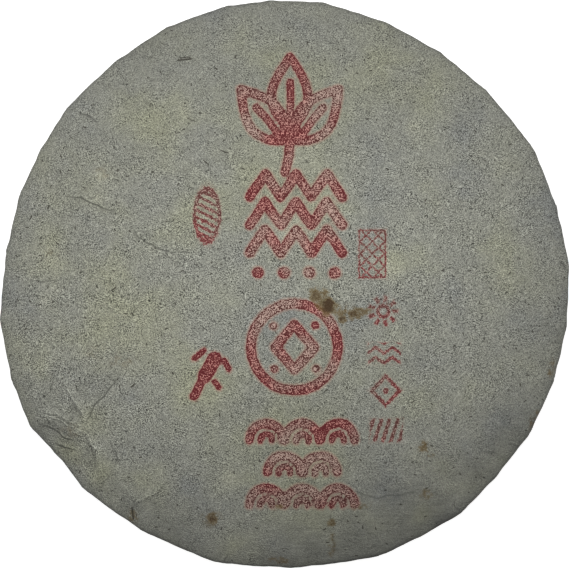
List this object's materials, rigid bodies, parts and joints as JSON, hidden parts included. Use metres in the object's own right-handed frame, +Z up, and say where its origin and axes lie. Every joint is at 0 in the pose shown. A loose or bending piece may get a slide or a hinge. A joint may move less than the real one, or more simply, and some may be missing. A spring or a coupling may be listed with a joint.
{
  "type": "wrapped pu erh tea cake",
  "caption": "Round pressed tea cake shut in a pleated cotton paper wrapper, domed on its face, with the paper gathered into a hollow in its back.",
  "frame": {"origin": "on the surface that the cake lies on, under the middle of its outline", "axes": "+Z up, out of the domed and printed face; +Y to the upper end of the print and +X to its right"},
  "size_m": [0.2008, 0.2002, 0.0266],
  "materials": {
    "cotton_paper": "matte handmade paper, grey green, with fibres and red stamped print"
  },
  "bodies": {
    "root": {"wrapped_tea_cake": "cotton_paper"}
  },
  "joints": []
}
